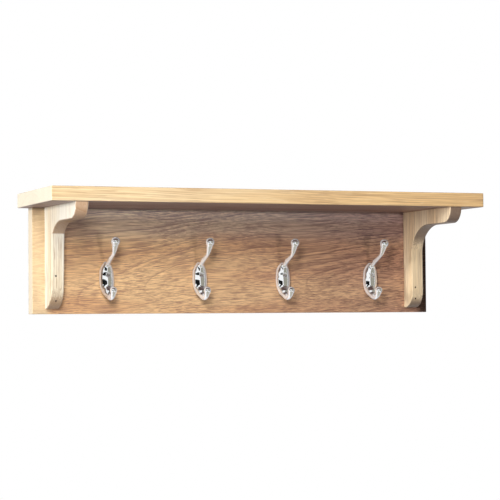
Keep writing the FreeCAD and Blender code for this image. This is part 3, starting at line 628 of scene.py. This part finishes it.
hookShape = {
    "bulbHalf": (0.012, 0.010, 0.025), "bulbReach": 0.0048, "bulbRise": -0.002, "bulbTilt": 4.0,
    "armPath": ((0.004, 0.0130), (0.009, 0.0228), (0.019, 0.0269), (0.034, 0.0322), (0.0468, 0.0372),
                (0.0542, 0.0490), (0.0575, 0.0559)),
    "armRadii": (0.0080, 0.0058, 0.0038, 0.0029, 0.0024, 0.0046, 0.0060),
    "knobRadius": 0.0065,
    "curlReach": 0.026, "curlRise": -0.016, "curlRadius": 0.014, "curlTurns": (200.0, 285.0, 350.0),
    "curlRadii": (0.0065, 0.0030, 0.0046), "tipRadius": 0.0053,
    "pegRadius": 0.002, "pegLength": 0.006, "pegDrop": 0.011, "pegInside": 0.002,
    "screwRise": 0.0057, "screwCrown": 0.0008, "screwHead": 0.00325, "screwShank": 0.0018,
    "shankDepth": 0.001,
    "leans": {1: -1.4, 2: -1.1, 3: 0.0, 4: 1.7},
}
# how widely the forms of a casting flow into each other, and how its net is pulled onto that skin
hookBlend = {"limbs": 0.0075, "balls": 0.0020, "back": 0.0005, "mouth": 0.0004, "peg": 0.0002}
hookNet = {"voxel": 0.00055, "pulls": 9, "evenPulls": 6, "longestPull": 0.002, "leastSlope": 0.05}
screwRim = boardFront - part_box("hook_screw_3")[0].y - hookShape["screwCrown"]


def curlPath(steps=30):
    centre = np.array((0, hookShape["curlReach"], hookShape["curlRise"]))
    start, thin, end = (math.radians(turn) for turn in hookShape["curlTurns"])
    turns = np.linspace(start, end, steps + 1)
    path = centre + hookShape["curlRadius"] * np.stack((0 * turns, np.cos(turns), np.sin(turns)), axis=1)
    radii = np.interp(turns, (start, thin, end), hookShape["curlRadii"])
    soft = np.convolve(np.pad(radii, 3, mode="edge"), np.ones(7) / 7, mode="valid")
    return path, soft


def armPath():
    path = np.array([(0, reach, rise) for reach, rise in hookShape["armPath"]])
    radii = np.array(hookShape["armRadii"])
    stations = np.column_stack((path, radii))
    for _ in range(3):  # corners are cut again and again until the line is smooth
        near = stations[:-1] * 0.75 + stations[1:] * 0.25
        far = stations[:-1] * 0.25 + stations[1:] * 0.75
        stations = np.vstack((stations[:1], np.stack((near, far), axis=1).reshape(-1, 4), stations[-1:]))
    return stations[:, :3], stations[:, 3]


def tubeDistance(points, path, radii):
    nearest = np.full(len(points), 1.0)
    for start, end, first, last in zip(path[:-1], path[1:], radii[:-1], radii[1:]):
        way = end - start
        share = np.clip((points - start) @ way / (way @ way), 0, 1)
        away = np.linalg.norm(points - start - share[:, None] * way, axis=1)
        nearest = np.minimum(nearest, away - first - (last - first) * share)
    return nearest


def smoothUnion(first, second, width):
    share = np.clip(0.5 + 0.5 * (second - first) / width, 0, 1)
    return second + (first - second) * share - width * share * (1 - share)


def smoothCut(first, second, width):
    # what is left of the first where the second is taken away
    return -smoothUnion(-first, second, width)


def hookDistance(points):
    # signed distance, about, to the casting's skin; points are (side, reach, rise)
    shape = hookShape
    tilt = math.radians(shape["bulbTilt"])
    side, reach, rise = points.T
    forward, up = reach - shape["bulbReach"], rise - shape["bulbRise"]
    local = np.stack((side, forward * math.cos(tilt) + up * math.sin(tilt),
                      up * math.cos(tilt) - forward * math.sin(tilt)), axis=1)
    half = np.array(shape["bulbHalf"])
    scaled, squared = np.linalg.norm(local / half, axis=1), np.linalg.norm(local / half**2, axis=1)
    skin = scaled * (scaled - 1) / np.maximum(squared, 1e-6)
    curl, arm = curlPath(), armPath()
    for limb in (curl, arm):
        skin = smoothUnion(skin, tubeDistance(points, *limb), hookBlend["limbs"])
    for (path, _), radius in ((arm, shape["knobRadius"]), (curl, shape["tipRadius"])):
        skin = smoothUnion(skin, np.linalg.norm(points - path[-1], axis=1) - radius, hookBlend["balls"])
    skin = smoothCut(skin, reach, hookBlend["back"])  # flat where it lies on the board
    away = np.hypot(side, rise - shape["screwRise"])
    seat = (away - (shape["screwHead"] - (screwRim - reach))) * math.sqrt(0.5)
    mouth = np.where(reach > screwRim, away - shape["screwHead"], seat)
    mouth = np.minimum(mouth, np.maximum(away - shape["screwShank"], -shape["shankDepth"] - reach))
    skin = smoothCut(skin, mouth, hookBlend["mouth"])
    peg = np.maximum(np.hypot(side, rise + shape["pegDrop"]) - shape["pegRadius"],
                     np.maximum(-shape["pegLength"] - reach, reach - shape["pegInside"]))
    return smoothUnion(skin, peg, hookBlend["peg"])


def makeCastingTree():
    # the rough casting: balls, a peg and tubes along curves, joined as they lie
    shape = hookShape
    tree = bpy.data.node_groups.new("roughHook", "GeometryNodeTree")
    tree.is_modifier = True

    def at(reach, rise):  # the kind and value of a socket for a place in the hook's middle plane
        return "Vector", (0, -reach, rise)

    sizes = {
        "Bulb Half Size": ("Vector", shape["bulbHalf"]),
        "Bulb Place": at(shape["bulbReach"], shape["bulbRise"]),
        "Bulb Turn": ("Float", -math.radians(shape["bulbTilt"])),
        "Knob Place": at(*shape["armPath"][-1]),
        "Knob Radius": ("Float", shape["knobRadius"]),
        "Root Place": at(*shape["armPath"][0]),
        "Neck Place": at(*shape["armPath"][4]),
        "Root Radius": ("Float", shape["armRadii"][1]),
        "Neck Radius": ("Float", shape["armRadii"][4]),
        "Curl Place": at(shape["curlReach"], shape["curlRise"]),
        "Curl Radius": ("Float", shape["curlRadius"]),
        "Curl Start": ("Float", math.radians(shape["curlTurns"][0])),
        "Curl Sweep": ("Float", math.radians(shape["curlTurns"][2] - shape["curlTurns"][0])),
        "Curl Thickness": ("Float", shape["curlRadii"][2]),
        "Tip Radius": ("Float", shape["tipRadius"]),
        "Peg Place": at(0, -shape["pegDrop"]),
        "Peg Length": ("Float", shape["pegLength"]),
        "Peg Radius": ("Float", shape["pegRadius"]),
    }
    for label, (kind, value) in sizes.items():
        socket = tree.interface.new_socket(label, in_out="INPUT", socket_type=f"NodeSocket{kind}")
        socket.default_value = value
    tree.interface.new_socket("Finish", in_out="INPUT", socket_type="NodeSocketMaterial")
    tree.interface.new_socket("Geometry", in_out="OUTPUT", socket_type="NodeSocketGeometry")
    given = tree.nodes.new("NodeGroupInput").outputs
    made = tree.nodes.new("NodeGroupOutput").inputs

    def moved(geometry, **inputs):
        node = addNode(tree, "GeometryNodeTransform", {"Geometry": geometry})
        for label, value in inputs.items():
            plug(tree, node.inputs[label], value)
        return node.outputs[0]

    def ballAt(place, radius):
        ball = addNode(tree, "GeometryNodeMeshIcoSphere", {"Radius": radius, "Subdivisions": 4})
        return moved(ball.outputs["Mesh"], Translation=place)

    def lineBetween(start, end):
        ends = {"Start": given[start], "End": given[end]}
        return addNode(tree, "GeometryNodeCurvePrimitiveLine", ends).outputs[0]

    def tubeAlong(curve, startRadius, endRadius):
        share = addNode(tree, "GeometryNodeSplineParameter").outputs["Factor"]
        radius = ramp(tree, share, 0.0, 1.0, startRadius, endRadius, smooth=False)
        ring = addNode(tree, "GeometryNodeCurvePrimitiveCircle", {"Resolution": 20, "Radius": 1.0})
        sized = addNode(tree, "GeometryNodeSetCurveRadius", {"Curve": curve, "Radius": radius})
        tube = addNode(tree, "GeometryNodeCurveToMesh", {
            "Curve": sized.outputs[0], "Profile Curve": ring.outputs["Curve"], "Fill Caps": True})
        if "Scale" in tube.inputs:  # where the node has this input, it sets the tube's radius
            plug(tree, tube.inputs["Scale"], radius)
        return tube.outputs["Mesh"]

    turn = addNode(tree, "ShaderNodeCombineXYZ", {"X": given["Bulb Turn"]}).outputs[0]
    bulb = addNode(tree, "GeometryNodeMeshIcoSphere", {"Radius": 1.0, "Subdivisions": 5}).outputs["Mesh"]
    bulb = moved(bulb, Scale=given["Bulb Half Size"])
    bulb = moved(bulb, Rotation=turn, Translation=given["Bulb Place"])
    arm, neck = lineBetween("Root Place", "Neck Place"), lineBetween("Neck Place", "Knob Place")
    curl = addNode(tree, "GeometryNodeCurveArc", {"Resolution": 32, "Radius": given["Curl Radius"],
                                                  "Start Angle": given["Curl Start"],
                                                  "Sweep Angle": given["Curl Sweep"]}, mode="RADIUS")
    # the arc lies in XY: its X becomes the reach, along -Y, and its Y the rise
    curlCurve = moved(curl.outputs["Curve"], Rotation=(math.pi / 2, 0, 0))
    curlCurve = moved(curlCurve, Rotation=(0, 0, -math.pi / 2), Translation=given["Curl Place"])
    atTip = addNode(tree, "GeometryNodeSampleCurve", {0: curlCurve}, mode="FACTOR", use_all_curves=True)
    atTip.inputs["Factor"].default_value = 1.0
    depth = calc(tree, "MULTIPLY", given["Peg Length"], 2.0)
    peg = addNode(tree, "GeometryNodeMeshCylinder", {"Vertices": 24, "Radius": given["Peg Radius"],
                                                     "Depth": depth})
    peg = moved(peg.outputs["Mesh"], Rotation=(math.pi / 2, 0, 0), Translation=given["Peg Place"])
    joined = addNode(tree, "GeometryNodeJoinGeometry")
    for geometry in (
        bulb, peg,
        tubeAlong(arm, given["Root Radius"], given["Neck Radius"]),
        tubeAlong(neck, given["Neck Radius"], given["Knob Radius"]),
        tubeAlong(curlCurve, given["Curl Thickness"], given["Curl Thickness"]),
        ballAt(given["Neck Place"], given["Neck Radius"]),
        ballAt(given["Knob Place"], given["Knob Radius"]),
        ballAt(atTip.outputs["Position"], given["Tip Radius"]),
    ):
        tree.links.new(geometry, joined.inputs[0])
    real = addNode(tree, "GeometryNodeRealizeInstances", {0: joined.outputs[0]}).outputs[0]
    finished = addNode(tree, "GeometryNodeSetMaterial", {"Geometry": real, "Material": given["Finish"]})
    tree.links.new(finished.outputs[0], made["Geometry"])
    return tree


def makeCasting():
    # one fused skin from the rough casting, then pulled onto the smooth blended form
    rough = bpy.data.objects.new("rough", bpy.data.meshes.new("rough"))
    bpy.context.scene.collection.objects.link(rough)
    tree = makeCastingTree()
    build = rough.modifiers.new("build", "NODES")
    build.node_group = tree
    for item in tree.interface.items_tree:
        if item.item_type == "SOCKET" and item.in_out == "INPUT":
            build[item.identifier] = materials["chrome"] if item.name == "Finish" else item.default_value
    fuse = rough.modifiers.new("fuse", "REMESH")
    fuse.mode, fuse.voxel_size, fuse.use_smooth_shade = "VOXEL", hookNet["voxel"], True
    settle(rough)
    mesh = rough.data
    points = np.zeros(len(mesh.vertices) * 3)
    mesh.vertices.foreach_get("co", points)
    points = points.reshape(-1, 3) * (1, -1, 1)  # reach runs along -Y
    edges = np.zeros(len(mesh.edges) * 2, dtype=np.int64)
    mesh.edges.foreach_get("vertices", edges)
    first, second = edges.reshape(-1, 2).T
    neighbours = np.bincount(np.concatenate((first, second)), minlength=len(points))[:, None]
    step = hookNet["voxel"] * 0.2
    for turn in range(hookNet["pulls"]):
        if turn < hookNet["evenPulls"]:  # even out the net before the last pulls
            total = np.zeros_like(points)
            np.add.at(total, first, points[second])
            np.add.at(total, second, points[first])
            points = points * 0.5 + total / neighbours * 0.5
        slope = np.stack([(hookDistance(points + shift) - hookDistance(points - shift)) / (2 * step)
                          for shift in np.eye(3) * step], axis=1)
        steepness = np.maximum((slope**2).sum(1), hookNet["leastSlope"])
        move = -(hookDistance(points) / steepness)[:, None] * slope
        length = np.maximum(np.linalg.norm(move, axis=1), 1e-9)
        move *= np.minimum(1, hookNet["longestPull"] / length)[:, None]
        points += move
    bpy.data.objects.remove(rough)
    return mesh, points * (1, -1, 1)


castingMesh, castingPoints = makeCasting()
for number, lean in hookShape["leans"].items():
    screwLow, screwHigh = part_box(f"hook_screw_{number}")
    turned = Matrix.Rotation(math.radians(lean), 3, "Y")
    middle = Vector(((screwLow.x + screwHigh.x) / 2, boardFront, (screwLow.z + screwHigh.z) / 2))
    middle -= turned @ Vector((0, 0, hookShape["screwRise"]))
    mesh = castingMesh.copy()
    mesh.vertices.foreach_set("co", (castingPoints @ np.array(turned).T + np.array(middle)).ravel())
    mesh.update()
    hook = newPiece(f"hook_{number}_casting", mesh, "chrome", f"hook_{number}")
    dress(hook, materials["chrome"])
print("hooks made:", len(castingPoints), "points each")


# Camera, in the photograph's place: angles in degrees, the lens in millimetres

camera = {"place": (-1.1155, -2.9945, -0.1345), "yaw": 20.963, "pitch": 2.099, "roll": -0.434, "lens": 144.19}


def addCamera():
    yaw, pitch, roll = (math.radians(camera[name]) for name in ("yaw", "pitch", "roll"))
    ahead = Vector((math.sin(yaw) * math.cos(pitch), math.cos(yaw) * math.cos(pitch), math.sin(pitch)))
    levelRight = Vector((math.cos(yaw), -math.sin(yaw), 0))
    levelUp = levelRight.cross(ahead)
    right = levelRight * math.cos(roll) + levelUp * math.sin(roll)
    up = levelUp * math.cos(roll) - levelRight * math.sin(roll)
    data = bpy.data.cameras.new("camera")
    data.sensor_width, data.lens, data.clip_start, data.clip_end = 36, camera["lens"], 0.1, 60
    thing = bpy.data.objects.new("camera", data)
    turned = Matrix((right, up, -ahead)).transposed().to_4x4()
    thing.matrix_world = Matrix.Translation(camera["place"]) @ turned
    bpy.context.scene.collection.objects.link(thing)
    bpy.context.scene.camera = thing


addCamera()


# Studio. Azimuth 0 is straight in front and grows to the right; level 1 lights a white card to white.

aim = Vector((0, -0.08, -0.02))
lamps = {
    "key": {"azimuth": -28, "elevation": 15, "distance": 1.7, "size": (0.28, 0.85),
            "level": 0.91, "tint": (1, 0.985, 0.96)},
    "side": {"azimuth": -84, "elevation": 3, "distance": 4.0, "size": (0.5, 1.0),
             "level": 0.86, "tint": (1, 0.99, 0.97)},
    "front": {"azimuth": 6.2, "elevation": -9, "distance": 5.6, "size": (0.26, 0.26),
              "level": 0.18, "tint": (1, 0.96, 0.93)},
    "back": {"azimuth": 165, "elevation": 30, "distance": 3.0, "size": (1.5, 1.0),
             "level": 0.75, "tint": (1, 0.98, 0.96)},
    "right": {"azimuth": 112, "elevation": 12, "distance": 3.0, "size": (1.0, 1.0),
              "level": 0.45, "tint": (1, 0.98, 0.96)},
    "bounce": {"azimuth": -62, "elevation": -66, "distance": 1.2, "size": (0.7, 0.7),
               "level": 0.18, "tint": (1, 0.98, 0.97)},
}
surround = {"white": 1.0, "ambient": 0.065, "tint": (0.62, 0.92, 1.75)}
# Cards that only reflections see, in place of the room round the photographed rack
cards = {
    "room_right": {"azimuth": 32, "elevation": 4, "distance": 1.3, "size": (1.5, 1.9),
                   "color": (0.34, 0.325, 0.27)},
    "dark_right": {"azimuth": 80, "elevation": 4, "distance": 1.3, "size": (0.5, 1.9),
                   "color": (0.03, 0.03, 0.03)},
    "dark_band": {"azimuth": -46, "elevation": -3, "distance": 1.2, "size": (1.7, 0.32),
                  "color": (0.01, 0.01, 0.01)},
    "dark_bar": {"azimuth": -8, "elevation": 34, "distance": 1.2, "size": (0.26, 0.9),
                 "color": (0.01, 0.01, 0.01)},
    "dark_low": {"azimuth": -34, "elevation": -30, "distance": 1.2, "size": (1.1, 0.12),
                 "color": (0.03, 0.03, 0.03)},
    "room_low": {"azimuth": 20, "elevation": -78, "distance": 0.9, "size": (1.7, 1.0),
                 "color": (0.44, 0.41, 0.33)},
}
# Black flags at the right end keep the light off the last bracket's cove and the strip of board beside it
flags = {
    "flag_nose": {"size": (0.10, 0.30), "place": (0.389, -0.26, -0.145)},
    "flag_strip": {"size": (0.0235, 0.155), "place": (0.32825, -0.028, -0.045)},
}
# The floor, which only the camera sees: its glow makes it look like the white behind the rack
ground = {"size": 12, "z": -1.75, "grey": 0.40, "glow": 0.66}


def facing(plan):
    # where a lamp or a card stands, turned to the aim
    a, e = math.radians(plan["azimuth"]), math.radians(plan["elevation"])
    away = Vector((math.sin(a) * math.cos(e), -math.cos(a) * math.cos(e), math.sin(e)))
    turned = away.to_track_quat("Z", "Y").to_matrix().to_4x4()
    return Matrix.Translation(aim + away * plan["distance"]) @ turned


for name, lamp in lamps.items():
    light = bpy.data.lights.new(name, "AREA")
    light.shape, (light.size, light.size_y) = "RECTANGLE", lamp["size"]
    light.energy = lamp["level"] * math.pi**2 * lamp["distance"]**2
    light.color = lamp["tint"]
    thing = bpy.data.objects.new(name, light)
    thing.visible_glossy = False
    thing.matrix_world = facing(lamp)
    bpy.context.scene.collection.objects.link(thing)


def card(name, width, height, matrix, color, glow=0.0):
    # a flat card in the middle of its matrix's XY plane; without a glow it is only lit by the lamps
    mesh = bpy.data.meshes.new(name)
    w, h = width / 2, height / 2
    mesh.from_pydata([(-w, -h, 0), (w, -h, 0), (w, h, 0), (-w, h, 0)], [], [(0, 1, 2, 3)])
    thing = bpy.data.objects.new(name, mesh)
    thing.matrix_world = matrix
    bpy.context.scene.collection.objects.link(thing)
    material, _, surface, _ = newMaterial(name)
    surface.inputs["Base Color"].default_value = (0, 0, 0, 1) if glow else (*color, 1)
    surface.inputs["Emission Color"].default_value = (*color, 1)
    surface.inputs["Emission Strength"].default_value = glow
    surface.inputs["Specular IOR Level"].default_value = 0.0
    surface.inputs["Roughness"].default_value = 1.0
    mesh.materials.append(material)
    return thing


floor = card("floor", ground["size"], ground["size"], Matrix.Translation((0, 0, ground["z"])),
             (ground["grey"],) * 3)
floor.visible_glossy = floor.visible_diffuse = False
floorTree = floor.data.materials[0].node_tree
floorSurface = floorTree.nodes["Principled BSDF"]
floorSurface.inputs["Emission Color"].default_value = (1, 1, 1, 1)
seenDirectly = addNode(floorTree, "ShaderNodeLightPath").outputs["Is Camera Ray"]
glow = calc(floorTree, "MULTIPLY", seenDirectly, ground["glow"])
floorTree.links.new(glow, floorSurface.inputs["Emission Strength"])
for name, plan in cards.items():
    thing = card(name, *plan["size"], facing(plan), plan["color"], 1.0)
    thing.visible_camera = thing.visible_diffuse = thing.visible_shadow = False
for name, plan in flags.items():
    upright = Matrix.Translation(plan["place"]) @ Matrix.Rotation(math.pi / 2, 4, "X")
    thing = card(name, *plan["size"], upright, (0.02, 0.02, 0.02))
    thing.visible_camera = thing.visible_glossy = False


def makeWorld():
    world = bpy.data.worlds.new("studio")
    world.use_nodes = True
    tree = world.node_tree
    back = tree.nodes["Background"]
    path = addNode(tree, "ShaderNodeLightPath").outputs
    seen = calc(tree, "ADD", path["Is Camera Ray"], path["Is Glossy Ray"], clamp=True)
    seen = calc(tree, "ADD", seen, path["Is Transmission Ray"], clamp=True)
    tree.links.new(blendColor(tree, seen, (*surround["tint"], 1), (1, 1, 1, 1)), back.inputs["Color"])
    strength = ramp(tree, seen, 0.0, 1.0, surround["ambient"], surround["white"], smooth=False)
    tree.links.new(strength, back.inputs["Strength"])
    bpy.context.scene.world = world


makeWorld()
bpy.context.scene.view_settings.view_transform = "Standard"
print("studio lit")

bpy.context.view_layer.update()
